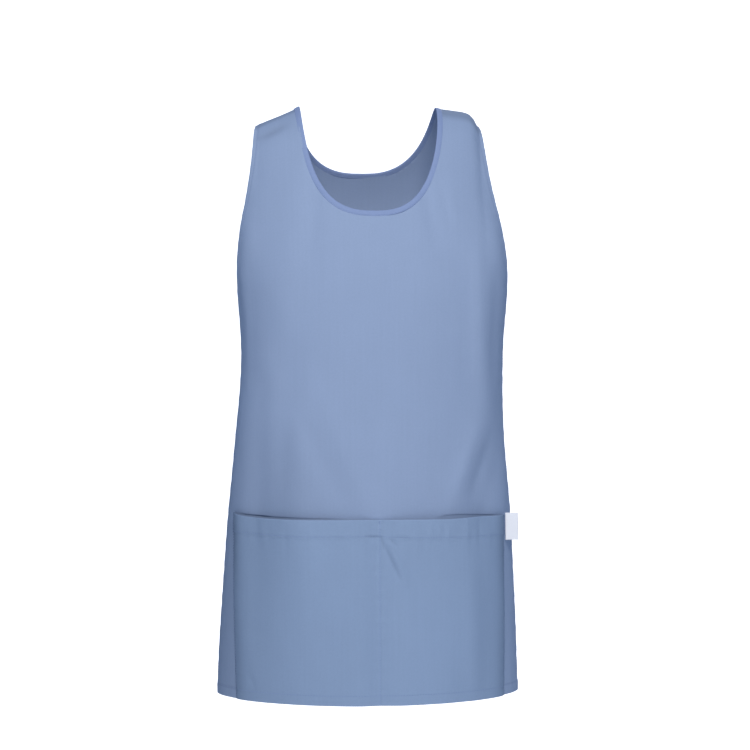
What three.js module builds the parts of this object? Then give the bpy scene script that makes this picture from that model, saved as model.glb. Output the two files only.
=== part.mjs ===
import * as THREE from 'three';

// A cobbler apron in the form that it has when worn, in millimetres.
// +Z is up and the front faces -Y. The origin lies midway between the shoulders, level with the neck points.
// "across" is measured along the cloth from a panel's middle, "down" along the cloth from the shoulder seam,
// and "drop" straight down. Seen from outside, a panel's across runs from left to right.

// Cloth
const clothThickness = 1.2;
const seamGap = 0.3;

// Form that the cloth hangs in
const hemDrop = 686;
const bodyHalfWidth = 158;
const frontDepth = 106;
const backDepth = 128;
const bodyRoundness = 2.25;

// Neck
const neckHalfWidth = 80;
const frontNeckDrop = 128;
const backNeckDrop = 68;
const necklineRoundness = 2.7;
const bindingWidth = 6.5;
const bindingThickness = 2 * clothThickness;

// Shoulders, armholes and side edges, with half widths as they lie flat
const strapWidth = 50;
const shoulderEase = 20;
const shoulderFall = 21;
const armholeDrop = 265;
const waistBelowArmhole = 65;
const underarmHalfWidth = 212;
const waistHalfWidth = 212;
const hemHalfWidth = 231;
const sideOpening = 27;

// Pocket, with the margins that it leaves to the front's side edges
const pocketTopMargin = 35;
const pocketHemMargin = 60;
const pocketDepth = 209;
const pocketHemHeight = 26;
const pocketGape = 11;
const pocketGapeFade = 2.5;

// Side straps
const sideStrapHeight = 25;
const sideStrapBelowArmhole = 35;
const sideStrapLap = 24;
const sideStrapThickness = 2 * clothThickness;
const sideStrapClearance = 2 * seamGap;

// Label tab
const labelWidth = 15.5;
const labelHeight = 34;
const labelThickness = 1.2;
const labelTurn = 0.3;

// Folds
const foldHeight = 3.5;
const foldEnd = 0.1;

// Cloth seen from the side: drop is a share of hemDrop, depth of frontDepth or backDepth
const FRONT_SIDE = [
  { drop: 0.006, depth: 0.19 },
  { drop: 0.024, depth: 0.38 },
  { drop: 0.056, depth: 0.55 },
  { drop: 0.100, depth: 0.67 },
  { drop: 0.155, depth: 0.78 },
  { drop: 0.215, depth: 0.88 },
  { drop: 0.290, depth: 0.97 },
  { drop: 0.380, depth: 1.00 },
  { drop: 0.500, depth: 1.00 },
  { drop: 0.690, depth: 1.04 },
  { drop: 1.000, depth: 1.08 },
];
const BACK_SIDE = [
  { drop: 0.007, depth: 0.19 },
  { drop: 0.028, depth: 0.40 },
  { drop: 0.062, depth: 0.60 },
  { drop: 0.105, depth: 0.77 },
  { drop: 0.160, depth: 0.90 },
  { drop: 0.250, depth: 1.00 },
  { drop: 0.380, depth: 0.97 },
  { drop: 0.500, depth: 0.91 },
  { drop: 0.690, depth: 0.93 },
  { drop: 1.000, depth: 0.96 },
];

// Level sections of the form: drop is a share of hemDrop, left and right of bodyHalfWidth,
// round of bodyRoundness
const BODY_SECTIONS = [
  { drop: 0.13, left: 0.97, right: 1.00, round: 1.04 },
  { drop: 0.26, left: 0.98, right: 1.05, round: 1.06 },
  { drop: 0.42, left: 0.93, right: 1.01, round: 1.02 },
  { drop: 0.55, left: 0.97, right: 1.02, round: 0.96 },
  { drop: 0.70, left: 1.03, right: 1.07, round: 0.87 },
  { drop: 0.86, left: 1.08, right: 1.11, round: 0.81 },
  { drop: 1.00, left: 1.11, right: 1.13, round: 0.78 },
];

// Fall of the shoulders: across is a share of strapWidth, left and right of shoulderFall
const SHOULDER_FALL = [
  { across: 0.0, left: 0.00, right: 0.00 },
  { across: 0.4, left: 0.44, right: 0.12 },
  { across: 0.8, left: 0.84, right: 0.32 },
  { across: 1.0, left: 1.00, right: 1.00 },
];

// Armhole edges: down is a share of the armhole's depth, out of the way from shoulder tip to underarm
const FRONT_ARMHOLE = [
  { down: 0.00, out: 0.00 },
  { down: 0.30, out: 0.18 },
  { down: 0.55, out: 0.42 },
  { down: 0.75, out: 0.68 },
  { down: 0.90, out: 0.90 },
  { down: 1.00, out: 1.00 },
];
const BACK_ARMHOLE = [
  { down: 0.00, out: 0.00 },
  { down: 0.35, out: 0.03 },
  { down: 0.60, out: 0.12 },
  { down: 0.80, out: 0.38 },
  { down: 0.92, out: 0.80 },
  { down: 1.00, out: 1.00 },
];

// Folds of the front, each a ridge or a dent along a line: across is a share of waistHalfWidth,
// drop and spread of hemDrop, rise of foldHeight
const FRONT_FOLDS = [
  { fromAcross: -0.32, fromDrop: 0.12, toAcross: -0.34, toDrop: 0.36, spread: 0.024, rise: -0.5 },
  { fromAcross: 0.32, fromDrop: 0.12, toAcross: 0.36, toDrop: 0.27, spread: 0.024, rise: -0.5 },
  { fromAcross: 0.64, fromDrop: 0.20, toAcross: 0.66, toDrop: 0.60, spread: 0.030, rise: 1.0 },
  { fromAcross: -0.66, fromDrop: 0.44, toAcross: -0.70, toDrop: 0.98, spread: 0.028, rise: 0.7 },
  { fromAcross: -0.46, fromDrop: 0.42, toAcross: -0.50, toDrop: 0.66, spread: 0.026, rise: -0.5 },
  { fromAcross: 0.62, fromDrop: 0.52, toAcross: 0.38, toDrop: 0.72, spread: 0.026, rise: 0.7 },
  { fromAcross: 0.78, fromDrop: 0.58, toAcross: 0.60, toDrop: 0.72, spread: 0.026, rise: -0.8 },
  { fromAcross: -0.24, fromDrop: 0.58, toAcross: -0.08, toDrop: 0.72, spread: 0.024, rise: -0.4 },
];

// How finely the cloth is divided
const neckSteps = 11;
const armholeSteps = 6;
const bodySteps = 10;
const pocketHemSteps = 2;
const pocketSteps = 9;
const innerColumns = 13;
const edgeColumns = 3;
const labelSteps = 3;

const shoulderTip = neckHalfWidth + strapWidth;

// Smooth value of a table's column at a place between its rows
function between(rows, place, column, value) {
  const last = rows.length - 1;
  let next = 1;
  while (next < last && rows[next][place] < value) {
    next += 1;
  }
  const slopeAt = (index) => {
    const before = rows[Math.max(0, index - 1)];
    const after = rows[Math.min(last, index + 1)];
    return (after[column] - before[column]) / (after[place] - before[place]);
  };
  const start = rows[next - 1];
  const end = rows[next];
  const step = end[place] - start[place];
  const t = THREE.MathUtils.clamp((value - start[place]) / step, 0, 1);
  const fromStart = (1 + 2 * t) * (1 - t) ** 2 * start[column] + t * (1 - t) ** 2 * step * slopeAt(next - 1);
  const fromEnd = t ** 2 * (3 - 2 * t) * end[column] + t ** 2 * (t - 1) * step * slopeAt(next);
  return fromStart + fromEnd;
}

// Line that the cloth follows over the shoulder, from front hem to back hem, with its length from the seam
function overShoulder() {
  const front = FRONT_SIDE.map((row) => ({ y: -row.depth * frontDepth, z: -row.drop * hemDrop }));
  const back = BACK_SIDE.map((row) => ({ y: row.depth * backDepth, z: -row.drop * hemDrop }));
  const line = [...front.reverse(), { y: 0, z: 0 }, ...back];
  line[0].along = 0;
  for (let index = 1; index < line.length; index += 1) {
    const step = Math.hypot(line[index].y - line[index - 1].y, line[index].z - line[index - 1].z);
    line[index].along = line[index - 1].along + step;
  }
  const seam = line[FRONT_SIDE.length].along;
  return line.map((spot) => ({ y: spot.y, z: spot.z, along: spot.along - seam }));
}

const shoulderLine = overShoulder();
const bodySections = [
  { drop: 0, left: shoulderTip + shoulderEase, right: shoulderTip + shoulderEase, round: bodyRoundness },
  ...BODY_SECTIONS.map((row) => ({
    drop: row.drop * hemDrop,
    left: row.left * bodyHalfWidth,
    right: row.right * bodyHalfWidth,
    round: row.round * bodyRoundness,
  })),
];

// Cloth length from the shoulder seam to a drop; turn is -1 on the front and 1 on the back
function downAt(turn, drop) {
  let low = 0;
  let high = turn < 0 ? -shoulderLine[0].along : shoulderLine[shoulderLine.length - 1].along;
  while (high - low > 1e-4) {
    const middle = (low + high) / 2;
    if (-between(shoulderLine, 'along', 'z', turn * middle) < drop) {
      low = middle;
    } else {
      high = middle;
    }
  }
  return (low + high) / 2;
}

// Depth of the form at a drop, on the front or the back
function depthAt(turn, drop) {
  return Math.abs(between(shoulderLine, 'along', 'y', turn * downAt(turn, drop)));
}

// Walks a length round the level section of the form, from its middle towards one side
function walkRound(length, drop, side, nearDepth, farDepth) {
  const halfWidth = between(bodySections, 'drop', side, drop);
  const bend = 2 / between(bodySections, 'drop', 'round', drop);
  const stepAngle = Math.PI / 180;
  let x = 0;
  let y = nearDepth;
  let walked = 0;
  for (let angle = stepAngle; ; angle += stepAngle) {
    const depth = angle <= Math.PI / 2 ? nearDepth : -farDepth;
    const nextX = halfWidth * Math.abs(Math.sin(angle)) ** bend;
    const nextY = depth * Math.abs(Math.cos(angle)) ** bend;
    const step = Math.hypot(nextX - x, nextY - y);
    if (walked + step >= length || angle >= Math.PI) {
      const t = Math.min(1, (length - walked) / step);
      return { x: x + t * (nextX - x), y: y + t * (nextY - y), walked: walked + t * step };
    }
    x = nextX;
    y = nextY;
    walked += step;
  }
}

// Length round the form from the front's middle to the back's, the mean of its two sides
function halfRound(drop) {
  const walk = (side) => walkRound(Infinity, drop, side, depthAt(-1, drop), depthAt(1, drop)).walked;
  return (walk('left') + walk('right')) / 2;
}

// Place of the smooth cloth, before its folds
function smoothPlace(turn, across, down) {
  const depth = Math.abs(between(shoulderLine, 'along', 'y', turn * down));
  const drop = -between(shoulderLine, 'along', 'z', turn * down);
  const facing = -turn * Math.sign(across);
  const side = facing < 0 ? 'left' : 'right';
  const spot = walkRound(Math.abs(across), drop, side, depth, depthAt(-turn, drop));
  const share = Math.max(0, (spot.x - neckHalfWidth) / strapWidth);
  const fade = 1 - THREE.MathUtils.smoothstep(drop, 0, armholeDrop);
  const fall = shoulderFall * between(SHOULDER_FALL, 'across', side, share) * fade;
  return new THREE.Vector3(facing * spot.x, turn * spot.y, -drop - fall);
}

// Height of the folds above the smooth front
function foldRise(across, drop) {
  const spot = new THREE.Vector2(across, drop);
  let rise = 0;
  for (const fold of FRONT_FOLDS) {
    const from = new THREE.Vector2(fold.fromAcross * waistHalfWidth, fold.fromDrop * hemDrop);
    const to = new THREE.Vector2(fold.toAcross * waistHalfWidth, fold.toDrop * hemDrop);
    const way = to.clone().sub(from);
    const share = THREE.MathUtils.clamp(spot.clone().sub(from).dot(way) / way.lengthSq(), 0, 1);
    const away = spot.distanceTo(from.addScaledVector(way, share)) / (fold.spread * hemDrop);
    const along = Math.sin(Math.PI * THREE.MathUtils.lerp(foldEnd, 1 - foldEnd, share));
    rise += fold.rise * foldHeight * Math.exp(-(away ** 2)) * along;
  }
  return rise;
}

// Middle of the cloth and its outward direction at a spot of a panel
function clothSpot(turn, across, down) {
  const reach = 2;
  const place = smoothPlace(turn, across, down);
  const alongAcross = smoothPlace(turn, across + reach, down).sub(smoothPlace(turn, across - reach, down));
  const upper = Math.max(0, down - reach);
  const alongDown = smoothPlace(turn, across, down + reach).sub(smoothPlace(turn, across, upper));
  const normal = alongDown.cross(alongAcross).normalize();
  if (turn < 0) {
    place.addScaledVector(normal, foldRise(across, -place.z));
  }
  return { place, normal };
}

// Neckline of one half panel, from the shoulder seam down to the panel's middle: x is across, y is down
class Neckline extends THREE.Curve {
  constructor(halfWidth, depth) {
    super();
    this.halfWidth = halfWidth;
    this.depth = depth;
  }

  getPoint(t, target = new THREE.Vector2()) {
    const angle = (t * Math.PI) / 2;
    const bend = 2 / necklineRoundness;
    return target.set(
      this.halfWidth * Math.abs(Math.cos(angle)) ** bend,
      this.depth * Math.abs(Math.sin(angle)) ** bend,
    );
  }

  // Spot at a step of the neckline, a distance into the cloth
  spotAt(step, distance) {
    const share = step / neckSteps;
    const spot = this.getPointAt(share);
    const tangent = this.getTangentAt(THREE.MathUtils.clamp(share, 1e-3, 1 - 1e-3));
    if (step === 0) {
      tangent.set(0, 1);
    }
    if (step === neckSteps) {
      tangent.set(-1, 0);
    }
    return { across: spot.x + distance * tangent.y, down: spot.y - distance * tangent.x };
  }
}

const frontNeckline = new Neckline(neckHalfWidth, downAt(-1, frontNeckDrop));
const backNeckline = new Neckline(neckHalfWidth, downAt(1, backNeckDrop));
const waistDrop = armholeDrop + waistBelowArmhole;
const hemDown = { front: downAt(-1, hemDrop), back: downAt(1, hemDrop) };

// Half width of a panel down its armhole and side edge
function edgeRows(turn, armhole, sideRows) {
  const armholeDown = downAt(turn, armholeDrop);
  const underarm = sideRows[0].half;
  return [
    ...armhole.map((row) => ({
      down: row.down * armholeDown,
      half: shoulderTip + row.out * (underarm - shoulderTip),
    })),
    ...sideRows.slice(1).map((row) => ({ down: downAt(turn, row.drop), half: row.half })),
  ];
}

const frontSide = [
  { drop: armholeDrop, half: underarmHalfWidth },
  { drop: waistDrop, half: waistHalfWidth },
  { drop: hemDrop, half: hemHalfWidth },
];
const backSide = frontSide.map((row) => ({
  drop: row.drop,
  half: halfRound(row.drop) - row.half - sideOpening,
}));
const frontEdge = edgeRows(-1, FRONT_ARMHOLE, frontSide);
const backEdge = edgeRows(1, BACK_ARMHOLE, backSide);

// Evenly spaced values after the first, up to the last
function stepsTo(first, last, count) {
  return Array.from({ length: count }, (_, index) => first + ((last - first) * (index + 1)) / count);
}

// Distances down the front at which its rows lie
const neckBottom = frontNeckline.depth + bindingWidth + seamGap;
const armholeBottom = downAt(-1, armholeDrop);
const pocketTop = downAt(-1, hemDrop - pocketDepth);
const pocketHemBottom = pocketTop + pocketHemHeight;
const pocketDowns = [
  pocketTop,
  ...stepsTo(pocketTop, pocketHemBottom, pocketHemSteps),
  ...stepsTo(pocketHemBottom, hemDown.front, pocketSteps),
];

// Rows of a half panel: where the cloth starts and ends across, from the shoulder seam to the hem
function panelRows(neckline, edge, lowerDowns) {
  const cut = bindingWidth + seamGap;
  const rows = [];
  for (let step = 0; step <= neckSteps; step += 1) {
    const spot = neckline.spotAt(step, cut);
    const down = step === 0 ? seamGap / 2 : spot.down;
    rows.push({ down, inner: step === neckSteps ? 0 : spot.across });
  }
  for (const down of lowerDowns) {
    rows.push({ down, inner: 0 });
  }
  return rows.map((row) => ({ ...row, outer: between(edge, 'down', 'half', row.down) }));
}

// Half width of the pocket: it keeps a margin to the front's side edge
function pocketHalfAt(down) {
  const share = THREE.MathUtils.clamp((down - pocketTop) / (hemDown.front - pocketTop), 0, 1);
  const margin = THREE.MathUtils.lerp(pocketTopMargin, pocketHemMargin, share);
  return between(frontEdge, 'down', 'half', down) - margin;
}

// Shares across a row at which its columns lie: on the front one of them falls on the pocket's side seam
function columnShares(row) {
  const down = Math.max(row.down, pocketTop);
  const split = pocketHalfAt(down) / between(frontEdge, 'down', 'half', down);
  return [0, ...stepsTo(0, split, innerColumns), ...stepsTo(split, 1, edgeColumns)];
}

// Closed wall of cloth from grids of spots, each with an outer and an inner place; spots that meet are shared
function clothWall(grids) {
  const known = new Map();
  const positions = [];
  const spotIndex = (spot) => {
    const key = spot.outer.toArray().map((value) => value.toFixed(3)).join(' ');
    if (!known.has(key)) {
      known.set(key, known.size);
      positions.push(...spot.outer.toArray(), ...spot.inner.toArray());
    }
    return known.get(key);
  };
  const outer = (index) => 2 * index;
  const inner = (index) => 2 * index + 1;
  const triangles = [];
  const edges = new Map();
  for (const grid of grids) {
    const ids = grid.map((row) => row.map(spotIndex));
    for (let row = 0; row + 1 < ids.length; row += 1) {
      for (let column = 0; column + 1 < ids[row].length; column += 1) {
        const a = ids[row][column];
        const b = ids[row][column + 1];
        const c = ids[row + 1][column + 1];
        const d = ids[row + 1][column];
        triangles.push(outer(a), outer(d), outer(c), outer(a), outer(c), outer(b));
        triangles.push(inner(a), inner(c), inner(d), inner(a), inner(b), inner(c));
        for (const [from, to] of [[a, d], [d, c], [c, b], [b, a]]) {
          edges.set(`${from} ${to}`, [from, to]);
        }
      }
    }
  }
  for (const [from, to] of edges.values()) {
    if (!edges.has(`${to} ${from}`)) {
      triangles.push(outer(to), outer(from), inner(from), outer(to), inner(from), inner(to));
    }
  }
  return meshGeometry(positions, triangles);
}

function meshGeometry(positions, triangles) {
  const geometry = new THREE.BufferGeometry();
  geometry.setAttribute('position', new THREE.Float32BufferAttribute(positions, 3));
  geometry.setIndex(triangles);
  geometry.computeVertexNormals();
  return geometry;
}

// Spot of a wall that reaches from one height to another above the middle of the cloth
function wallSpot(spot, low, high) {
  return {
    outer: spot.place.clone().addScaledVector(spot.normal, high),
    inner: spot.place.clone().addScaledVector(spot.normal, low),
  };
}

// Left and right grids of a panel
function panelGrids(turn, rows) {
  const spotAt = (side, row, share) => {
    const across = side * THREE.MathUtils.lerp(row.inner, row.outer, share);
    return wallSpot(clothSpot(turn, across, row.down), -clothThickness / 2, clothThickness / 2);
  };
  return [-1, 1].map((side) => rows.map((row) => {
    const shares = columnShares(row);
    const ordered = side < 0 ? shares.reverse() : shares;
    return ordered.map((share) => spotAt(side, row, share));
  }));
}

// Front panel: one cloth with both shoulder straps, from the shoulder seams to the hem
function frontPanel() {
  const downs = [
    ...stepsTo(neckBottom, armholeBottom, armholeSteps),
    ...stepsTo(armholeBottom, pocketTop, bodySteps).slice(0, -1),
    ...pocketDowns,
  ];
  return clothWall(panelGrids(-1, panelRows(frontNeckline, frontEdge, downs)));
}

// Back panel: one cloth with both shoulder straps, plain, and narrower than the front
function backPanel() {
  const backNeckBottom = backNeckline.depth + bindingWidth + seamGap;
  const backArmholeBottom = downAt(1, armholeDrop);
  const downs = [
    ...stepsTo(backNeckBottom, backArmholeBottom, armholeSteps),
    ...stepsTo(backArmholeBottom, hemDown.back, bodySteps),
  ];
  return clothWall(panelGrids(1, panelRows(backNeckline, backEdge, downs)));
}

// How far the pocket's cloth stands off the front: sewn at its sides, middle and hem, slack between them
function pocketStandOff(across, down) {
  const slackAcross = Math.sin((Math.PI * Math.abs(across)) / pocketHalfAt(down)) ** 2;
  const slackDown = 1 - ((down - pocketTop) / (hemDown.front - pocketTop)) ** pocketGapeFade;
  return clothThickness / 2 + seamGap + pocketGape * slackAcross * slackDown;
}

// Pocket panel: one wide cloth over the lower front, with a folded hem along its top edge
function pocketPanel() {
  const columns = [0, ...stepsTo(0, 1, innerColumns)];
  const mirrored = [...columns.slice(1).reverse().map((share) => -share), ...columns];
  const hemEnd = pocketHemBottom + clothThickness;
  const hemRows = pocketHemSteps + 1;
  const downs = [...pocketDowns.slice(0, hemRows), hemEnd, ...pocketDowns.slice(hemRows)];
  const grid = downs.map((down) => mirrored.map((share) => {
    const across = share * pocketHalfAt(down);
    const low = pocketStandOff(across, down);
    const layers = down <= pocketHemBottom ? 2 : 1;
    return wallSpot(clothSpot(-1, across, down), low, low + layers * clothThickness);
  }));
  return clothWall([grid]);
}

// Neck binding: a folded strip all round the neck hole, over both shoulder seams
function neckBinding() {
  const halfHeight = bindingThickness / 2;
  const round = bindingThickness / 4;
  const section = [
    [round, -halfHeight],
    [bindingWidth - round, -halfHeight],
    [bindingWidth, round - halfHeight],
    [bindingWidth, halfHeight - round],
    [bindingWidth - round, halfHeight],
    [round, halfHeight],
    [0, halfHeight - round],
    [0, round - halfHeight],
  ];
  const stations = [];
  const quarter = (turn, neckline, side, steps) => {
    for (const step of steps) {
      stations.push(section.map(([distance, height]) => {
        const spot = neckline.spotAt(step, distance);
        const cloth = clothSpot(turn, side * spot.across, spot.down);
        return cloth.place.addScaledVector(cloth.normal, height);
      }));
    }
  };
  const rising = Array.from({ length: neckSteps }, (_, index) => index);
  const falling = rising.map((step) => neckSteps - step);
  quarter(-1, frontNeckline, 1, falling);
  quarter(1, backNeckline, -1, rising);
  quarter(1, backNeckline, 1, falling);
  quarter(-1, frontNeckline, -1, rising);
  const positions = stations.flat().flatMap((corner) => corner.toArray());
  const triangles = [];
  const corners = section.length;
  for (let station = 0; station < stations.length; station += 1) {
    const next = (station + 1) % stations.length;
    for (let corner = 0; corner < corners; corner += 1) {
      const beside = (corner + 1) % corners;
      const a = station * corners + corner;
      const b = station * corners + beside;
      const c = next * corners + beside;
      const d = next * corners + corner;
      triangles.push(a, c, b, a, d, c);
    }
  }
  return meshGeometry(positions, triangles);
}

// Side strap: a folded strip that holds front and back together at the waist, sewn inside both.
// side is -1 on the left and 1 on the right.
function sideStrap(side) {
  const inset = clothThickness / 2 + sideStrapClearance + sideStrapThickness / 2;
  const lapShares = [0, 1 / 3, 2 / 3, 1];
  const insidePlace = (turn, across, down) => {
    const spot = clothSpot(turn, across, down);
    return spot.place.addScaledVector(spot.normal, -inset);
  };
  const grid = [0, 0.5, 1].map((share) => {
    const drop = armholeDrop + sideStrapBelowArmhole + share * sideStrapHeight;
    const frontDown = downAt(-1, drop);
    const backDown = downAt(1, drop);
    const frontHalf = between(frontEdge, 'down', 'half', frontDown);
    const backHalf = between(backEdge, 'down', 'half', backDown);
    const line = new THREE.CatmullRomCurve3([
      ...lapShares.map((lap) => insidePlace(-1, side * (frontHalf - (1 - lap) * sideStrapLap), frontDown)),
      ...lapShares.map((lap) => insidePlace(1, -side * (backHalf - lap * sideStrapLap), backDown)),
    ], false, 'centripetal');
    const count = 4 * lapShares.length;
    const spots = Array.from({ length: count + 1 }, (_, index) => {
      const place = line.getPoint(index / count);
      const normal = line.getTangent(index / count).cross(new THREE.Vector3(0, 0, side)).normalize();
      return wallSpot({ place, normal }, -sideStrapThickness / 2, sideStrapThickness / 2);
    });
    return side < 0 ? spots.reverse() : spots;
  });
  return clothWall([grid]);
}

// Label tab: a blank folded tape caught in the pocket's right side seam, standing outwards
function labelTab() {
  const outwards = new THREE.Vector3(Math.cos(labelTurn), Math.sin(labelTurn), 0);
  const normal = new THREE.Vector3(Math.sin(labelTurn), -Math.cos(labelTurn), 0);
  const labelBottom = pocketTop + labelHeight;
  const downs = [pocketTop, ...stepsTo(pocketTop, labelBottom, labelSteps)];
  const grid = downs.map((down) => {
    const seam = clothSpot(-1, pocketHalfAt(down), down);
    const seat = seam.place.addScaledVector(seam.normal, clothThickness + seamGap);
    seat.addScaledVector(outwards, seamGap + labelThickness);
    return [0, labelWidth].map((distance) => {
      const place = seat.clone().addScaledVector(outwards, distance);
      return wallSpot({ place, normal }, -labelThickness / 2, labelThickness / 2);
    });
  });
  return clothWall([grid]);
}

function fabric(color, roughness) {
  return new THREE.MeshStandardMaterial({ color, roughness, metalness: 0 });
}

function namedMesh(name, geometry, material) {
  const mesh = new THREE.Mesh(geometry, material);
  mesh.name = name;
  return mesh;
}

const apron = new THREE.Group();
apron.add(
  namedMesh('front_panel', frontPanel(), fabric(0x90a2c6, 0.85)),
  namedMesh('back_panel', backPanel(), fabric(0x90a2c6, 0.85)),
  namedMesh('pocket_panel', pocketPanel(), fabric(0x8c9ec2, 0.85)),
  namedMesh('neck_binding', neckBinding(), fabric(0x8698be, 0.85)),
  namedMesh('side_strap_left', sideStrap(-1), fabric(0x90a2c6, 0.85)),
  namedMesh('side_strap_right', sideStrap(1), fabric(0x90a2c6, 0.85)),
  namedMesh('label_tab', labelTab(), fabric(0xe8e6e6, 0.7)),
);

export default apron;
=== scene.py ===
import math

import bpy
import numpy as np
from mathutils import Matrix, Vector


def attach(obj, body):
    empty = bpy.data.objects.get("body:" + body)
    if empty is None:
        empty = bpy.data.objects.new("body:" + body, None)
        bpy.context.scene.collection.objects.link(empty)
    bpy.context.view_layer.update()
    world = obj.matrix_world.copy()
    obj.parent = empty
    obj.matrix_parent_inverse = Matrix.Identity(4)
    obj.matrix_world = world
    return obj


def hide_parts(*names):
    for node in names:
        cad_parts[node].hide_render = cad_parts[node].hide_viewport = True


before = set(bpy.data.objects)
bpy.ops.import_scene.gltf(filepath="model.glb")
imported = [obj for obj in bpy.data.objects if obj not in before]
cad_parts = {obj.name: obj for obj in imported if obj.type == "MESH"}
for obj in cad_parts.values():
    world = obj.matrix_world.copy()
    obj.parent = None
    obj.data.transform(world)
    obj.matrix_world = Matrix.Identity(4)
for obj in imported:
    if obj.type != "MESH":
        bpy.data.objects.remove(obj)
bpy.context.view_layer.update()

# Studio: a pale floor that sweeps up into a backdrop, a large soft light above the lens, a weaker one
# behind and a bluish one from all round. The camera stands level, a little left of the apron's middle.
scene = bpy.context.scene
scene.view_settings.view_transform = "Standard"

FRAME_PIXELS = 750
SENSOR = 36.0
FOCAL_PIXELS = 2036
CAMERA_AWAY = 2.400
CAMERA_TURN = math.radians(5.0)
CAMERA_ASIDE = 0.0094
CAMERA_HEIGHT = -0.3147

toward = Vector((math.sin(CAMERA_TURN), math.cos(CAMERA_TURN), 0.0))
rightward = Vector((math.cos(CAMERA_TURN), -math.sin(CAMERA_TURN), 0.0))
camera = bpy.data.objects.new("camera", bpy.data.cameras.new("camera"))
scene.collection.objects.link(camera)
camera.location = -CAMERA_AWAY * toward + CAMERA_ASIDE * rightward + Vector((0.0, 0.0, CAMERA_HEIGHT))
camera.rotation_euler = (math.radians(90.0), 0.0, -CAMERA_TURN)
camera.data.sensor_width = SENSOR
camera.data.lens = FOCAL_PIXELS / FRAME_PIXELS * SENSOR
scene.camera = camera

FLOOR_LEVEL = -1.10
SWEEP_AWAY = 1.6
SWEEP_RADIUS = 1.0
STAGE_HALF_WIDTH = 5.0
STAGE_FRONT = -6.0
STAGE_TOP = 3.5
SWEEP_STEPS = 24


def add_mesh(name, points, faces):
    mesh = bpy.data.meshes.new(name)
    mesh.from_pydata([tuple(point) for point in points], [], [tuple(face) for face in faces])
    mesh.polygons.foreach_set("use_smooth", [True] * len(mesh.polygons))
    mesh.update()
    piece = bpy.data.objects.new(name, mesh)
    scene.collection.objects.link(piece)
    return piece


def studio_sweep():
    """Side view of the floor and backdrop, drawn out sideways."""
    turns = np.linspace(0.0, math.pi / 2, SWEEP_STEPS)
    bend_y = SWEEP_AWAY + SWEEP_RADIUS * np.sin(turns)
    bend_z = FLOOR_LEVEL + SWEEP_RADIUS * (1.0 - np.cos(turns))
    line = [(STAGE_FRONT, FLOOR_LEVEL), *zip(bend_y, bend_z), (SWEEP_AWAY + SWEEP_RADIUS, STAGE_TOP)]
    points = [(x, y, z) for y, z in line for x in (-STAGE_HALF_WIDTH, STAGE_HALF_WIDTH)]
    faces = [(2 * row, 2 * row + 1, 2 * row + 3, 2 * row + 2) for row in range(len(line) - 1)]
    return add_mesh("studio_floor", points, faces)


def plain_material(name, roughness, specular):
    """New material with its node tree and its shader."""
    material = bpy.data.materials.new(name)
    material.use_nodes = True
    shader = material.node_tree.nodes["Principled BSDF"]
    shader.inputs["Roughness"].default_value = roughness
    shader.inputs["Specular IOR Level"].default_value = specular
    return material, material.node_tree, shader


def maths(tree, operation, *values):
    """Math node; a value is a number or an output socket."""
    node = tree.nodes.new("ShaderNodeMath")
    node.operation = operation
    for socket, value in zip(node.inputs, values):
        if isinstance(value, (int, float)):
            socket.default_value = value
        else:
            tree.links.new(value, socket)
    return node.outputs[0]


PALE = (1.0, 1.0, 1.0, 1.0)
BACKDROP_TONE = (0.9, 0.9, 0.9, 1.0)
BACKDROP_ROUGHNESS = 0.9
BACKDROP_SHINE = 0.5
BACKDROP_GLOW = 0.85
AIR = (0.144, 0.222, 0.350, 1.0)
WARM = (1.03, 0.99, 0.96)

backdrop = studio_sweep()
backdrop_paint, paint_tree, paint = plain_material("backdrop_paint", BACKDROP_ROUGHNESS, BACKDROP_SHINE)
paint.inputs["Base Color"].default_value = BACKDROP_TONE
paint.inputs["Emission Color"].default_value = PALE
seen = paint_tree.nodes.new("ShaderNodeLightPath")
glow = maths(paint_tree, "MULTIPLY", seen.outputs["Is Camera Ray"], BACKDROP_GLOW)
paint_tree.links.new(glow, paint.inputs["Emission Strength"])
backdrop.data.materials.append(backdrop_paint)

studio_air = bpy.data.worlds.new("studio_air")
studio_air.use_nodes = True
air = studio_air.node_tree.nodes["Background"]
seen = studio_air.node_tree.nodes.new("ShaderNodeLightPath")
tone = studio_air.node_tree.nodes.new("ShaderNodeMix")
tone.data_type = "RGBA"
tone.inputs["A"].default_value = AIR
tone.inputs["B"].default_value = PALE
studio_air.node_tree.links.new(seen.outputs["Is Camera Ray"], tone.inputs["Factor"])
studio_air.node_tree.links.new(tone.outputs["Result"], air.inputs["Color"])
scene.world = studio_air

CHEST = Vector((0.0, 0.0, -0.32))


def soft_light(name, place, size, power):
    light = bpy.data.lights.new(name, "AREA")
    light.shape = "SQUARE"
    light.size = size
    light.energy = power
    light.color = WARM
    lamp = bpy.data.objects.new(name, light)
    lamp.location = place
    lamp.rotation_euler = (CHEST - Vector(place)).to_track_quat("-Z", "Y").to_euler()
    lamp.visible_camera = False
    scene.collection.objects.link(lamp)


soft_light("front_light", (-0.15, -2.25, 1.12), 1.0, 45.6)
soft_light("back_light", (0.9, 2.2, 1.6), 1.2, 26.0)

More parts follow.
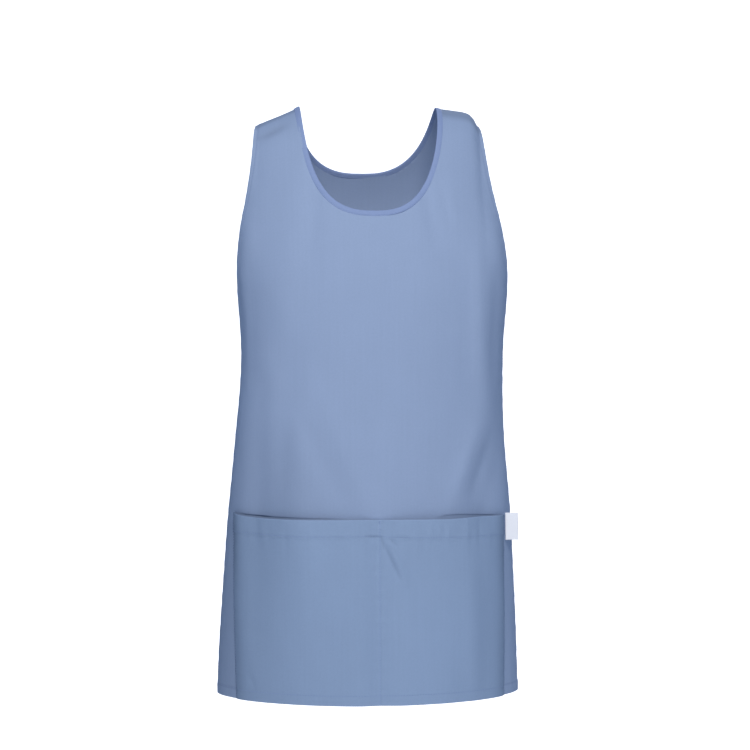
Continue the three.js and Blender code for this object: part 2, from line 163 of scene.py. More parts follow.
# Front panel: one cut of matt blue twill with both shoulder straps. Its armhole and side edges are turned
# in narrowly and stitched, its bottom has a wider hem, and it hangs from the shoulder seams.
CLOTH = 0.0012
SEAM_GAP = 0.0003
HEM_DROP = 0.686
BODY_HALF_WIDTH = 0.158
FRONT_DEPTH = 0.106
BACK_DEPTH = 0.128
BODY_ROUNDNESS = 2.25
NECK_HALF_WIDTH = 0.080
FRONT_NECK_DROP = 0.128
BACK_NECK_DROP = 0.068
NECKLINE_ROUNDNESS = 2.7
BINDING_WIDTH = 0.0065
STRAP_WIDTH = 0.050
SHOULDER_EASE = 0.020
SHOULDER_FALL_HEIGHT = 0.021
ARMHOLE_DROP = 0.265
WAIST_DROP = 0.330
UNDERARM_HALF = 0.212
WAIST_HALF = 0.212
HEM_HALF = 0.231
SIDE_OPENING = 0.027
SHOULDER_TIP = NECK_HALF_WIDTH + STRAP_WIDTH

# Side view of the cloth: drop is a share of HEM_DROP, depth of FRONT_DEPTH or BACK_DEPTH
FRONT_SIDE = [
    (0.006, 0.19), (0.024, 0.38), (0.056, 0.55), (0.100, 0.67), (0.155, 0.78), (0.215, 0.88),
    (0.290, 0.97), (0.380, 1.00), (0.500, 1.00), (0.690, 1.04), (1.000, 1.08),
]
BACK_SIDE = [
    (0.007, 0.19), (0.028, 0.40), (0.062, 0.60), (0.105, 0.77), (0.160, 0.90), (0.250, 1.00),
    (0.380, 0.97), (0.500, 0.91), (0.690, 0.93), (1.000, 0.96),
]
# Level sections: drop is a share of HEM_DROP, left and right of BODY_HALF_WIDTH, round of BODY_ROUNDNESS
BODY_SECTIONS = [
    (0.13, 0.97, 1.00, 1.04), (0.26, 0.98, 1.05, 1.06), (0.42, 0.93, 1.01, 1.02), (0.55, 0.97, 1.02, 0.96),
    (0.70, 1.03, 1.07, 0.87), (0.86, 1.08, 1.11, 0.81), (1.00, 1.11, 1.13, 0.78),
]
# Fall of the shoulders: across is a share of STRAP_WIDTH, left and right of SHOULDER_FALL_HEIGHT
SHOULDER_FALL = [
    (0.00, 0.00, 0.00), (0.40, 0.44, 0.12), (0.75, 0.80, 0.25), (0.88, 0.95, 0.48), (1.00, 1.12, 1.00),
]
# Armhole edges: down is a share of the armhole's depth, out of the way from shoulder tip to underarm
FRONT_ARMHOLE = [(0.00, 0.00), (0.30, 0.18), (0.55, 0.42), (0.75, 0.68), (0.90, 0.90), (1.00, 1.00)]
BACK_ARMHOLE = [(0.00, 0.00), (0.35, 0.03), (0.60, 0.12), (0.80, 0.38), (0.92, 0.80), (1.00, 1.00)]


def between(places, values, wanted):
    """Smooth values between the rows of a table."""
    places = np.asarray(places, float)
    values = np.asarray(values, float)
    last = len(places) - 1
    before = np.maximum(np.arange(last + 1) - 1, 0)
    after = np.minimum(np.arange(last + 1) + 1, last)
    slopes = (values[after] - values[before]) / (places[after] - places[before])
    end = np.clip(np.searchsorted(places, wanted), 1, last)
    start = end - 1
    step = places[end] - places[start]
    t = np.clip((wanted - places[start]) / step, 0.0, 1.0)
    from_start = (1 + 2 * t) * (1 - t) ** 2 * values[start] + t * (1 - t) ** 2 * step * slopes[start]
    from_end = t ** 2 * (3 - 2 * t) * values[end] + t ** 2 * (t - 1) * step * slopes[end]
    return from_start + from_end


def walked_along(x, y):
    """Length walked along a line up to each of its points."""
    return np.concatenate([[0.0], np.cumsum(np.hypot(np.diff(x), np.diff(y)))])


over_y = [-depth * FRONT_DEPTH for _, depth in reversed(FRONT_SIDE)] + [0.0]
over_y += [depth * BACK_DEPTH for _, depth in BACK_SIDE]
over_z = [-drop * HEM_DROP for drop, _ in reversed(FRONT_SIDE)] + [0.0]
over_z += [-drop * HEM_DROP for drop, _ in BACK_SIDE]
over_along = walked_along(over_y, over_z)
over_along -= over_along[len(FRONT_SIDE)]

drops, left_shares, right_shares, rounds = np.transpose(BODY_SECTIONS)
section_drops = np.append(0.0, drops * HEM_DROP)
top_half = SHOULDER_TIP + SHOULDER_EASE
section_half = {
    "left": np.append(top_half, left_shares * BODY_HALF_WIDTH),
    "right": np.append(top_half, right_shares * BODY_HALF_WIDTH),
}
section_round = np.append(1.0, rounds) * BODY_ROUNDNESS
fall_across, *falls = zip(*SHOULDER_FALL)
fall_values = dict(zip(("left", "right"), falls))
WALK_ANGLES = np.linspace(0.0, math.pi, 721)
DOWN_STEPS = 3000


def down_at(turn, drop):
    """Cloth length from the shoulder seam to a drop; turn is -1 on the front and 1 on the back."""
    end = -over_along[0] if turn < 0 else over_along[-1]
    downs = np.linspace(0.0, end, DOWN_STEPS)
    return float(np.interp(drop, -between(over_along, over_z, turn * downs), downs))


def section_walk(drop, side, near_depth, far_depth):
    """Places along half a level section, from its near middle to its far one, with the length walked."""
    bend = 2.0 / between(section_drops, section_round, drop)
    depth = np.where(WALK_ANGLES <= math.pi / 2, near_depth, -far_depth)
    x = between(section_drops, section_half[side], drop) * np.abs(np.sin(WALK_ANGLES)) ** bend
    y = depth * np.abs(np.cos(WALK_ANGLES)) ** bend
    return x, y, walked_along(x, y)


def ramp(value, start, end):
    """Smooth step from 0 at start to 1 at end."""
    t = np.clip((value - start) / (end - start), 0.0, 1.0)
    return t * t * (3.0 - 2.0 * t)


def close_to(value, width):
    """Bump of height 1 where a value is near 0."""
    return np.exp(-((value / width) ** 2))


def unit(vectors):
    return vectors / np.linalg.norm(vectors, axis=-1, keepdims=True)


def smooth_row(turn, across, down):
    """Places of the smooth cloth at one distance down and several across."""
    down = max(down, 0.0)
    depth = abs(between(over_along, over_y, turn * down))
    drop = -between(over_along, over_z, turn * down)
    far_down = down_at(-turn, drop)
    far_depth = abs(between(over_along, over_y, -turn * far_down))
    fade = 1.0 - ramp(drop, 0.0, ARMHOLE_DROP)
    facing = -turn * np.sign(across)
    places = np.empty((len(across), 3))
    for side, mask in (("left", facing < 0), ("right", facing >= 0)):
        if not mask.any():
            continue
        x, y, walked = section_walk(drop, side, depth, far_depth)
        half_x = np.interp(np.abs(across[mask]), walked, x)
        share = np.maximum(0.0, (half_x - NECK_HALF_WIDTH) / STRAP_WIDTH)
        fall = SHOULDER_FALL_HEIGHT * between(fall_across, fall_values[side], share) * fade
        places[mask, 0] = facing[mask] * half_x
        places[mask, 1] = turn * np.interp(np.abs(across[mask]), walked, y)
        places[mask, 2] = -drop - fall
    return places


REACH = 0.002


def smooth_cloth(turn, across, downs):
    """Places of the smooth cloth, row by row, with the directions outwards and down along it."""
    places = []
    normals = []
    ways = []
    for row, down in zip(across, downs):
        sideways = smooth_row(turn, row + REACH, down) - smooth_row(turn, row - REACH, down)
        downwards = smooth_row(turn, row, down + REACH) - smooth_row(turn, row, down - REACH)
        places.append(smooth_row(turn, row, down))
        normals.append(unit(np.cross(downwards, sideways)))
        ways.append(unit(downwards))
    return np.array(places), np.array(normals), np.array(ways)


# Broad folds of the front, as lines: across is a share of WAIST_HALF, drop and spread of HEM_DROP
FOLD_HEIGHT = 0.0035
FOLD_END = 0.1
BROAD_FOLDS = [
    (-0.32, 0.12, -0.34, 0.36, 0.024, -0.5),
    (0.32, 0.12, 0.36, 0.27, 0.024, -0.5),
    (0.64, 0.20, 0.66, 0.60, 0.030, 1.0),
    (-0.66, 0.44, -0.70, 0.98, 0.028, 0.7),
    (-0.46, 0.42, -0.50, 0.66, 0.026, -0.5),
    (0.62, 0.52, 0.38, 0.72, 0.026, 0.7),
    (0.78, 0.58, 0.60, 0.72, 0.026, -0.8),
    (-0.24, 0.58, -0.08, 0.72, 0.024, -0.4),
]


def along_folds(folds, across, drop):
    """Height of folds that run along lines, in the unit of their last column; given shares of colour, it
    paints shade along creases.
    """
    rise = np.zeros(np.broadcast(across, drop).shape)
    for from_across, from_drop, to_across, to_drop, spread, height in folds:
        way = np.array([to_across - from_across, to_drop - from_drop])
        share = ((across - from_across) * way[0] + (drop - from_drop) * way[1]) / (way @ way)
        share = np.clip(share, 0.0, 1.0)
        off = np.hypot(across - from_across - share * way[0], drop - from_drop - share * way[1])
        along = np.sin(math.pi * (FOLD_END + (1.0 - 2.0 * FOLD_END) * share))
        rise += height * along * close_to(off, spread)
    return rise


broad_folds = [
    (a * WAIST_HALF, b * HEM_DROP, c * WAIST_HALF, d * HEM_DROP, e * HEM_DROP, f * FOLD_HEIGHT)
    for a, b, c, d, e, f in BROAD_FOLDS
]


def metres(rows):
    """Rows of a table that is given in millimetres."""
    return [tuple(value / 1000 for value in row) for row in rows]


# Fine folds of the front in millimetres: from across, from drop, to across, to drop, spread, height
FINE_FOLDS = metres([
    (-60, 60, -72, 180, 7, -1.2), (52, 70, 70, 160, 7, -1.1),
    (78, 88, 90, 150, 6, -1), (-130, 40, -98, 26, 4, -1.4),
    (-166, 200, -166, 330, 10, 1.2), (122, 165, 126, 310, 10, 2),
    (152, 180, 150, 320, 12, -1.6), (-88, 345, -76, 580, 24, 5.2),
    (-140, 330, -143, 600, 19, -6.2), (-142, 120, -172, 215, 20, 3),
    (142, 120, 172, 215, 20, 3), (122, 375, 90, 462, 8, 1.4),
    (150, 385, 115, 462, 12, -3), (-66, 329, -9, 464, 14, 1.6),
    (-86, 360, -35, 465, 10, -1.4),
])
front_folds = broad_folds + FINE_FOLDS
RIPPLE_HEIGHT = 0.00022
# Waves of the worn cloth: turns a metre across and down, and start
RIPPLES = [(76, 11, 0.3), (46, -31, 1.9), (122, 17, 4.1), (-94, 52, 2.6), (180, 24, 0.9), (148, -66, 5.2)]
PUCKER_HEIGHT = 0.00016
PUCKER_REACH = 0.010
HEM_TURN = 0.0125
EDGE_TURN = 0.0065
TURNED_LAYER = 0.00055
STITCH_IN = 0.0012
STITCH_DENT = 0.00035
DENT_WIDTH = 0.0008


def ripple(across, down):
    """Faint unevenness of cloth that has been worn and pressed."""
    total = 0.0
    for index, (sideways, downwards, start) in enumerate(RIPPLES):
        total = total + np.sin(sideways * across + downwards * down + start) / (1 + index / 2)
    return RIPPLE_HEIGHT * total


def pucker(along, off, pitch):
    """Small gathers beside a stitched line: along the line, and the distance off it."""
    wave = np.sin(2 * math.pi * along / pitch) + 0.6 * np.sin(2 * math.pi * along / (0.61 * pitch) + 1.3)
    return PUCKER_HEIGHT * wave * close_to(off, PUCKER_REACH)


def turned_edge(off, width):
    """Extra height of an edge that is folded in: a second layer that ends in a stitched dent."""
    layer = TURNED_LAYER * (1.0 - ramp(off, width - STITCH_IN / 2, width + STITCH_IN))
    return layer - STITCH_DENT * close_to(off - width + STITCH_IN, DENT_WIDTH)


def at_each(place, places, values):
    """Interpolated x, y and z at one place."""
    return np.array([np.interp(place, places, values[:, axis]) for axis in range(3)])


class Cloth:
    """One cut of cloth in rows from its top to its hem. For each spot a wall gives the heights of its two
    faces, how far it slips down along the form and the shade painted on it."""

    def __init__(self, turn, downs, edges, shares, wall):
        self.downs = np.asarray(downs)
        self.edges = edges
        self.shares = np.asarray(shares)
        self.halves = {}
        for side in (-1, 1):
            across = side * edges[side][:, None] * self.shares
            places, normals, ways = smooth_cloth(turn, across, self.downs)
            down = np.broadcast_to(self.downs[:, None], across.shape)
            off = edges[side][:, None] - np.abs(across)
            low, high, slip, shade = wall(across, down, -places[..., 2], off)
            places = places + ways * np.broadcast_to(slip, across.shape)[..., None]
            face = places + normals * high[..., None]
            lining = places + normals * low[..., None]
            self.halves[side] = (face, lining, across, normals, shade)

    def spot(self, across, down):
        """Place on the outer face and outward direction, at one spot."""
        row = int(np.clip(np.searchsorted(self.downs, down), 1, len(self.downs) - 1))
        t = np.clip((down - self.downs[row - 1]) / (self.downs[row] - self.downs[row - 1]), 0.0, 1.0)
        side = -1 if across < 0 else 1
        face, _, _, normals, _ = self.halves[side]
        place = np.zeros(3)
        normal = np.zeros(3)
        for index, weight in ((row - 1, 1.0 - t), (row, t)):
            share = abs(across) / self.edges[side][index]
            place += weight * at_each(share, self.shares, face[index])
            normal += weight * at_each(share, self.shares, normals[index])
        return place, unit(normal)

    def build(self, name, keeps=None):
        """Closed mesh of both faces and the rim; keeps says which cells of the cloth are left."""
        rows, columns = self.halves[1][2].shape
        left = np.arange(rows * columns).reshape(rows, columns)[:, ::-1]
        right = rows * columns + np.arange(rows * columns).reshape(rows, columns)
        right[:, 0] = left[:, -1]
        face, lining, across, _, shade = [
            np.concatenate([half.reshape(rows * columns, -1) for half in pair])
            for pair in zip(self.halves[-1], self.halves[1])
        ]
        down = np.tile(np.repeat(self.downs, columns), 2)
        lay = np.stack([across[:, 0], down], 1)
        quads = np.concatenate([grid_quads(left), grid_quads(right)])
        if keeps is not None:
            quads = quads[keeps(*lay[quads].mean(1).T)]
        corners = lay[quads]
        spans = np.stack([corners[:, 2] - corners[:, 0], corners[:, 3] - corners[:, 1]], 1)
        self.area = float(np.abs(np.linalg.det(spans)).sum() / 2)
        return closed_cloth(name, face, lining, lay, quads, shade[:, 0])


def grid_quads(ids):
    corners = (ids[:-1, :-1], ids[1:, :-1], ids[1:, 1:], ids[:-1, 1:])
    return np.stack([corner.ravel() for corner in corners], 1)


def keep_lay(piece, lay):
    """Keeps the cloth's own coordinates on its mesh, for the weave and the dye."""
    kept = piece.data.attributes.new("lay", "FLOAT_VECTOR", "POINT")
    kept.data.foreach_set("vector", np.pad(lay, ((0, 0), (0, 1))).ravel())


def closed_cloth(name, outer_points, inner_points, lay, quads, shade=None):
    """Mesh of an outer and an inner face that share their quads, joined by a rim along open edges."""
    used = np.unique(quads)
    quads = np.searchsorted(used, quads)
    count = len(used)
    edges = np.concatenate([quads[:, [k, (k + 1) % 4]] for k in range(4)])
    open_edges = edges[~np.isin(edges[:, 0] * count + edges[:, 1], edges[:, 1] * count + edges[:, 0])]
    start, end = open_edges.T
    rim = np.stack([end, start, start + count, end + count], 1)
    faces = np.concatenate([quads, quads[:, ::-1] + count, rim])
    points = np.concatenate([outer_points[used], inner_points[used]])
    piece = add_mesh(name, points, faces.tolist())
    keep_lay(piece, np.concatenate([lay[used], lay[used]]))
    # Shade painted into the colour: painted shade, and painted highlight where it is below zero
    if shade is not None:
        dark = piece.data.attributes.new("shade", "FLOAT", "POINT")
        dark.data.foreach_set("value", np.concatenate([shade[used], shade[used]]))
    return piece


def half_round(drop):
    """Length round the form from the front's middle to the back's, the mean of its two sides."""
    depths = [abs(between(over_along, over_y, turn * down_at(turn, drop))) for turn in (-1, 1)]
    return sum(section_walk(drop, side, *depths)[2][-1] for side in ("left", "right")) / 2


def panel_edge(turn, armhole, side_rows):
    """Distances down a panel's edge and its half widths there."""
    armhole_down = down_at(turn, ARMHOLE_DROP)
    underarm = side_rows[0][1]
    downs = [down * armhole_down for down, _ in armhole]
    halves = [SHOULDER_TIP + out * (underarm - SHOULDER_TIP) for _, out in armhole]
    downs += [down_at(turn, drop) for drop, _ in side_rows[1:]]
    halves += [half for _, half in side_rows[1:]]
    return downs, halves


NECK_STEP = 0.0005


class Neckline:
    """Neck edge of half a panel, from the shoulder seam down to the panel's middle."""

    def __init__(self, depth):
        angles = np.linspace(0.0, math.pi / 2, 2001)
        bend = 2.0 / NECKLINE_ROUNDNESS
        self.across = NECK_HALF_WIDTH * np.abs(np.cos(angles)) ** bend
        self.down = depth * np.abs(np.sin(angles)) ** bend
        self.walked = walked_along(self.across, self.down)

    def at(self, share, distance):
        """Spot a share of the way along the edge and a distance into the cloth."""
        length = share * self.walked[-1]
        near = np.clip([length - NECK_STEP, length + NECK_STEP], 0.0, self.walked[-1])
        edge_across = np.interp(near, self.walked, self.across)
        edge_down = np.interp(near, self.walked, self.down)
        way = unit(np.array([edge_across[1] - edge_across[0], edge_down[1] - edge_down[0]]))
        if share <= 0.0:
            way = np.array([0.0, 1.0])
        if share >= 1.0:
            way = np.array([-1.0, 0.0])
        across = np.interp(length, self.walked, self.across) + distance * way[1]
        down = np.interp(length, self.walked, self.down) - distance * way[0]
        return across, down


FINE_PITCH = 0.00055


def panel_rows(turn, row_pitch, fine=(0.0, 0.0)):
    """Distances down a panel, closer together at the seam, in one band and at the hem."""
    end = down_at(turn, HEM_DROP)
    near_seam = np.array([0.0, 0.0006, 0.0013, 0.0022])
    near_hem = [HEM_TURN + step for step in (0.003, 0.0010, -0.0012, -0.0035)]
    near_hem += [0.005, 0.0006, 0.0]
    start = near_seam[-1] + row_pitch / 2
    body = np.linspace(start, end - near_hem[0] - row_pitch, int(end / row_pitch))
    body = body[(body < fine[0] - row_pitch / 2) | (body > fine[1] + row_pitch / 2)]
    return np.sort(np.concatenate([near_seam, body, np.arange(*fine, FINE_PITCH), end - np.array(near_hem)]))


RAW_EDGE = 0.5 * BINDING_WIDTH


def round_neck(neckline):
    """Test for the cells of a panel that are left round its neck hole: the raw edge ends in the binding."""
    edge = np.stack([neckline.across, neckline.down], 1)[::4]

    def keeps(across, down):
        spots = np.stack([np.abs(across), down], 1)
        kept = np.ones(len(spots), bool)
        near = (spots[:, 0] < edge[:, 0].max() + RAW_EDGE) & (spots[:, 1] < edge[:, 1].max() + RAW_EDGE)
        distance = np.array([np.hypot(*(edge - spot).T).min() for spot in spots[near]])
        shares = spots[near] / edge.max(0)
        inside = (shares ** NECKLINE_ROUNDNESS).sum(1) < 1.0
        kept[near] = ~inside & (distance > RAW_EDGE)
        return kept

    return keeps


def edge_shares(width, turn_width, column_pitch):
    """Shares of a half width, closer together at the turned edge."""
    near = [turn_width + step for step in (0.003, 0.0008, -0.0012, -0.003)]
    near += [0.0016, 0.0005, 0.0]
    body = np.linspace(0.0, width - near[0], int(width / column_pitch))[:-1]
    return np.concatenate([body, [width - off for off in near]]) / width


front_neckline = Neckline(down_at(-1, FRONT_NECK_DROP))
back_neckline = Neckline(down_at(1, BACK_NECK_DROP))
front_rows = [(ARMHOLE_DROP, UNDERARM_HALF), (WAIST_DROP, WAIST_HALF), (HEM_DROP, HEM_HALF)]
back_rows = [(drop, half_round(drop) - half - SIDE_OPENING) for drop, half in front_rows]
front_edge = panel_edge(-1, FRONT_ARMHOLE, front_rows)
back_edge = panel_edge(1, BACK_ARMHOLE, back_rows)
hem_down = {-1: down_at(-1, HEM_DROP), 1: down_at(1, HEM_DROP)}

# Mouth of the pocket in millimetres: across, how high above its edge the front falls back, and how far
MOUTH = metres([
    (-178, 0, 0), (-165, 1.2, 1), (-138, 1.8, 1.5), (-120, 1.4, 0.9), (-98, 1.4, 0.8), (-50, 0.9, 0.6),
    (-20, 0.3, 0.2), (71, 0.3, 0.2), (82, 3.6, 0.6), (102, 3.3, 0.7), (127, 1.4, 0.7), (152, 0.9, 1.2),
    (170, 0, 0),
])
MOUTH_REACH = 0.012
POCKET_DEPTH = 0.209
pocket_top = down_at(-1, HEM_DROP - POCKET_DEPTH)
# Pocket's top edge: across, and how far it slips down, in millimetres
EDGE_SLIP = metres([
    (-185, -3.4), (-172, -2.2), (-160, -0.8), (-140, 0.3), (-110, 0.5), (80, 0.6), (100, 0),
    (127, -0.6), (150, 0.1), (175, 0),
])
# Painted shade in a crease of the left shoulder: as the fine folds but in metres, and a share of the colour
# taken away
SHOULDER_LINES = [(-0.134, 0.042, -0.094, 0.024, 0.0050, 0.14)]
# Painted shade on the crests of the shoulders, left and right, which face up, away from the lamp
CREST_END = (0.029, 0.046)
CREST_SHADE = (0.16, 0.22)
CREST_START = 0.010
CREST_FULL = 0.6
# Painted shade over the shoulder tops of both panels, and along the shoulder seam, where it is partly a dark
# seam line
TOP_SHADE = 0.07
TOP_REACH = (0.006, 0.026)
SEAM_SHADE = 0.16
SEAM_SPREAD = 0.0018
# Painted shade in the stitched dents of the turned edges and hems, partly dark stitch lines
STITCH_SHADE = 0.10
# Painted shade where the front falls back behind the pocket's mouth
MOUTH_SHADE = 0.08
# Painted shade on the left of the front and the pocket, which turns away from the lamp
SIDE_SHADE = 0.09
# Places of the painted shade on the left below the waist: from and to across, from and to below the pocket's
# top
SIDE_PLACES = [(0.150, 0.190, -0.05, 0.03), (0.000, 0.110, -0.14, -0.03)]
SEAM_DIP = 0.0004
LINE_WIDTH = 0.0009
PRESSED = 0.0004
EDGE_PUCKER_PITCH = 0.021
HEM_PUCKER_PITCH = 0.026
FRONT_PITCH = 0.0031


def mouth_dip(across, down):
    """Share from 0 to 1 by which the front falls back behind the pocket's edge, and how far that is."""
    places, heights, depths = zip(*MOUTH)
    height = np.interp(across, places, heights)
    above = pocket_top + np.interp(across, *zip(*EDGE_SLIP)) - down
    dip = 1.0 - ramp(above, height - 0.0006, height + 0.0010)
    dip = dip * ramp(above, -MOUTH_REACH, -MOUTH_REACH / 3) * np.minimum(1.0, height / 0.0012)
    return dip, np.interp(across, places, depths)


def panel_faces(rise, shade, down, off, hem_off):
    """Heights of a panel's two faces with its seam and turned edges, no slip, and the shade painted on it.
    """
    rise = rise + pucker(down, off - EDGE_TURN, EDGE_PUCKER_PITCH)
    rise = rise - SEAM_DIP * close_to(down, LINE_WIDTH)
    turn = np.maximum(turned_edge(off, EDGE_TURN), turned_edge(hem_off, HEM_TURN))
    # Painted shade in the stitched dents, partly dark stitch lines
    stitched = close_to(off - EDGE_TURN + STITCH_IN, LINE_WIDTH)
    stitched = stitched + close_to(hem_off - HEM_TURN + STITCH_IN, LINE_WIDTH)
    # Painted shade along the shoulder seam, partly a dark seam line, and over the shoulder tops
    shade = shade + STITCH_SHADE * np.minimum(stitched, 1.0) + SEAM_SHADE * close_to(down, SEAM_SPREAD)
    shade = shade + TOP_SHADE * (1.0 - ramp(down, *TOP_REACH))
    return rise - CLOTH / 2, rise + CLOTH / 2 - PRESSED + turn, 0.0, shade


def front_wall(across, down, drop, off):
    dip, depth = mouth_dip(across, down)
    hem_off = hem_down[-1] - down
    rise = along_folds(front_folds, across, drop) + ripple(across, down) - depth * dip
    rise = rise + pucker(across, hem_off - HEM_TURN, HEM_PUCKER_PITCH)
    # Painted shade behind the pocket's mouth and in the left shoulder's crease
    shade = MOUTH_SHADE * dip + along_folds(SHOULDER_LINES, across, drop)
    # Painted shade on the shoulder crests
    crest_end = np.where(across < 0, *CREST_END)
    crest = ramp(down, 0.0, CREST_START) * (1.0 - ramp(down, CREST_FULL * crest_end, crest_end))
    shade = shade + np.where(across < 0, *CREST_SHADE) * crest
    # Painted shade on the left below the waist
    for near, far, start, end in SIDE_PLACES:
        lower = ramp(down, pocket_top + start, pocket_top + end)
        shade = shade + SIDE_SHADE * lower * ramp(-across, near, far)
    return panel_faces(rise, shade, down, off, hem_off)


front_downs = panel_rows(-1, FRONT_PITCH, (pocket_top - 0.0090, pocket_top + 0.0020))
front_outer = between(*front_edge, front_downs)
front_shares = edge_shares(WAIST_HALF, EDGE_TURN, FRONT_PITCH)
front_cloth = Cloth(-1, front_downs, {-1: front_outer, 1: front_outer}, front_shares, front_wall)
front = front_cloth.build("front_cloth", round_neck(front_neckline))


def node_group(name, inputs, output):
    """Empty shader node group of numbers with its two end nodes."""
    group = bpy.data.node_groups.new(name, "ShaderNodeTree")
    for label, value in inputs:
        socket = group.interface.new_socket(label, in_out="INPUT", socket_type="NodeSocketFloat")
        socket.default_value = value
    group.interface.new_socket(output, in_out="OUTPUT", socket_type="NodeSocketFloat")
    return group, group.nodes.new("NodeGroupInput"), group.nodes.new("NodeGroupOutput")


def waves(tree, place, pitch):
    """Sine of a place with one wave to each pitch."""
    turns = maths(tree, "DIVIDE", place, pitch)
    return maths(tree, "SINE", maths(tree, "MULTIPLY", turns, 2 * math.pi))


def kept_values(tree, name):
    """Node that reads values kept on the mesh."""
    node = tree.nodes.new("ShaderNodeAttribute")
    node.attribute_name = name
    return node


RIB_SHARE = 0.35
THREAD_SHARE = 0.15


def twill_weave():
    """Diagonal ribs and cross threads of a fine twill, from the cloth's own coordinates."""
    pitches = [("Rib Pitch", 0.0009), ("Thread Pitch", 0.00045)]
    group, given, result = node_group("twill_weave", pitches, "Height")
    parts = group.nodes.new("ShaderNodeSeparateXYZ")
    group.links.new(kept_values(group, "lay").outputs["Vector"], parts.inputs[0])
    across, down = parts.outputs[0], parts.outputs[1]
    ribs = waves(group, maths(group, "ADD", across, down), given.outputs["Rib Pitch"])
    ribs = maths(group, "MULTIPLY", ribs, RIB_SHARE)
    threads = waves(group, across, given.outputs["Thread Pitch"])
    threads = maths(group, "MULTIPLY", threads, THREAD_SHARE)
    height = maths(group, "ADD", ribs, threads)
    group.links.new(maths(group, "ADD", height, 0.5), result.inputs["Height"])
    return group


# Unevenness of the dye: strength, scale, and how far it is drawn out along the warp
DYE_GRAIN = [("Cloud", 0.05, 22.0, 1.0), ("Mottle", 0.09, 420.0, 1.0), ("Streak", 0.05, 340.0, 0.03)]


def dye_and_painted_shade():
    """Uneven dye: soft clouds, a fine mottle and faint streaks along the warp, times the shade painted on
    the mesh: painted shade at the seams, in creases, in hollows and on turned-away places, and painted
    highlights.
    """
    strengths = [(label, strength) for label, strength, _, _ in DYE_GRAIN]
    group, given, result = node_group("dye_and_painted_shade", strengths, "Factor")
    lay = kept_values(group, "lay")
    total = 1.0
    for label, _, scale, stretch in DYE_GRAIN:
        mapping = group.nodes.new("ShaderNodeMapping")
        mapping.inputs["Scale"].default_value = (1.0, stretch, 1.0)
        group.links.new(lay.outputs["Vector"], mapping.inputs["Vector"])
        noise = group.nodes.new("ShaderNodeTexNoise")
        noise.inputs["Scale"].default_value = scale
        noise.inputs["Detail"].default_value = 3.0
        group.links.new(mapping.outputs["Vector"], noise.inputs["Vector"])
        centred = maths(group, "SUBTRACT", noise.outputs[0], 0.5)
        total = maths(group, "ADD", total, maths(group, "MULTIPLY", centred, given.outputs[label]))
    # One less the painted shade kept on the mesh; painted highlights lift it above one
    light = maths(group, "SUBTRACT", 1.0, kept_values(group, "shade").outputs["Fac"])
    group.links.new(maths(group, "MULTIPLY", total, light), result.inputs["Factor"])
    return group


weave_group = twill_weave()
dye_and_shade_group = dye_and_painted_shade()


def linear(red, green, blue):
    """Linear colour of an sRGB one given in 0 to 255."""
    shares = [value / 255 for value in (red, green, blue)]
    return tuple(v / 12.92 if v <= 0.04045 else ((v + 0.055) / 1.055) ** 2.4 for v in shares)


RELIEF_DEPTH = 0.0001


def colour_by(tree, shader, colour, factor):
    """One sRGB colour times a factor that changes over the surface."""
    tint = tree.nodes.new("ShaderNodeVectorMath")
    tint.operation = "SCALE"
    tint.inputs[0].default_value = linear(*colour)
    tree.links.new(factor, tint.inputs["Scale"])
    tree.links.new(tint.outputs["Vector"], shader.inputs["Base Color"])


def relief_by(tree, shader, height, strength):
    """Fine relief from a height that changes over the surface."""
    relief = tree.nodes.new("ShaderNodeBump")
    relief.inputs["Strength"].default_value = strength
    relief.inputs["Distance"].default_value = RELIEF_DEPTH
    tree.links.new(height, relief.inputs["Height"])
    tree.links.new(relief.outputs["Normal"], shader.inputs["Normal"])


def cloth_material(name, colour, rib_pitch=0.0009, bump=0.25, mottle=0.09):
    """Matt twill of one colour."""
    material, tree, shader = plain_material(name, 0.9, 0.08)
    # The dye with the painted shade kept on the mesh
    dye = tree.nodes.new("ShaderNodeGroup")
    dye.node_tree = dye_and_shade_group
    dye.inputs["Mottle"].default_value = mottle
    colour_by(tree, shader, colour, dye.outputs["Factor"])
    weave = tree.nodes.new("ShaderNodeGroup")
    weave.node_tree = weave_group
    weave.inputs["Rib Pitch"].default_value = rib_pitch
    relief_by(tree, shader, weave.outputs["Height"], bump)
    return material


STITCH_PITCH = 0.0032
STITCH_LENGTH = 0.0024
THREAD = 0.00030
THREAD_CORNERS = 6
THREAD_RINGS = 5
THREAD_END = 0.15
THREAD_ARCH = 0.5
THREAD_SUNK = 0.3


def sewn_places(cloth, across, down):
    """Places and outward directions on a cloth's outer face along a line."""
    spots = [cloth.spot(*spot) for spot in np.broadcast(across, down)]
    return [np.array(column) for column in zip(*spots)]


def tube_quads(rings, corners):
    """Quads round a tube of closed rings; the last row of them joins its last ring to its first."""
    ids = np.arange(rings * corners).reshape(rings, corners)
    after = np.roll(ids, -1, 0)
    return np.stack([ids, after, np.roll(after, -1, 1), np.roll(ids, -1, 1)], -1)


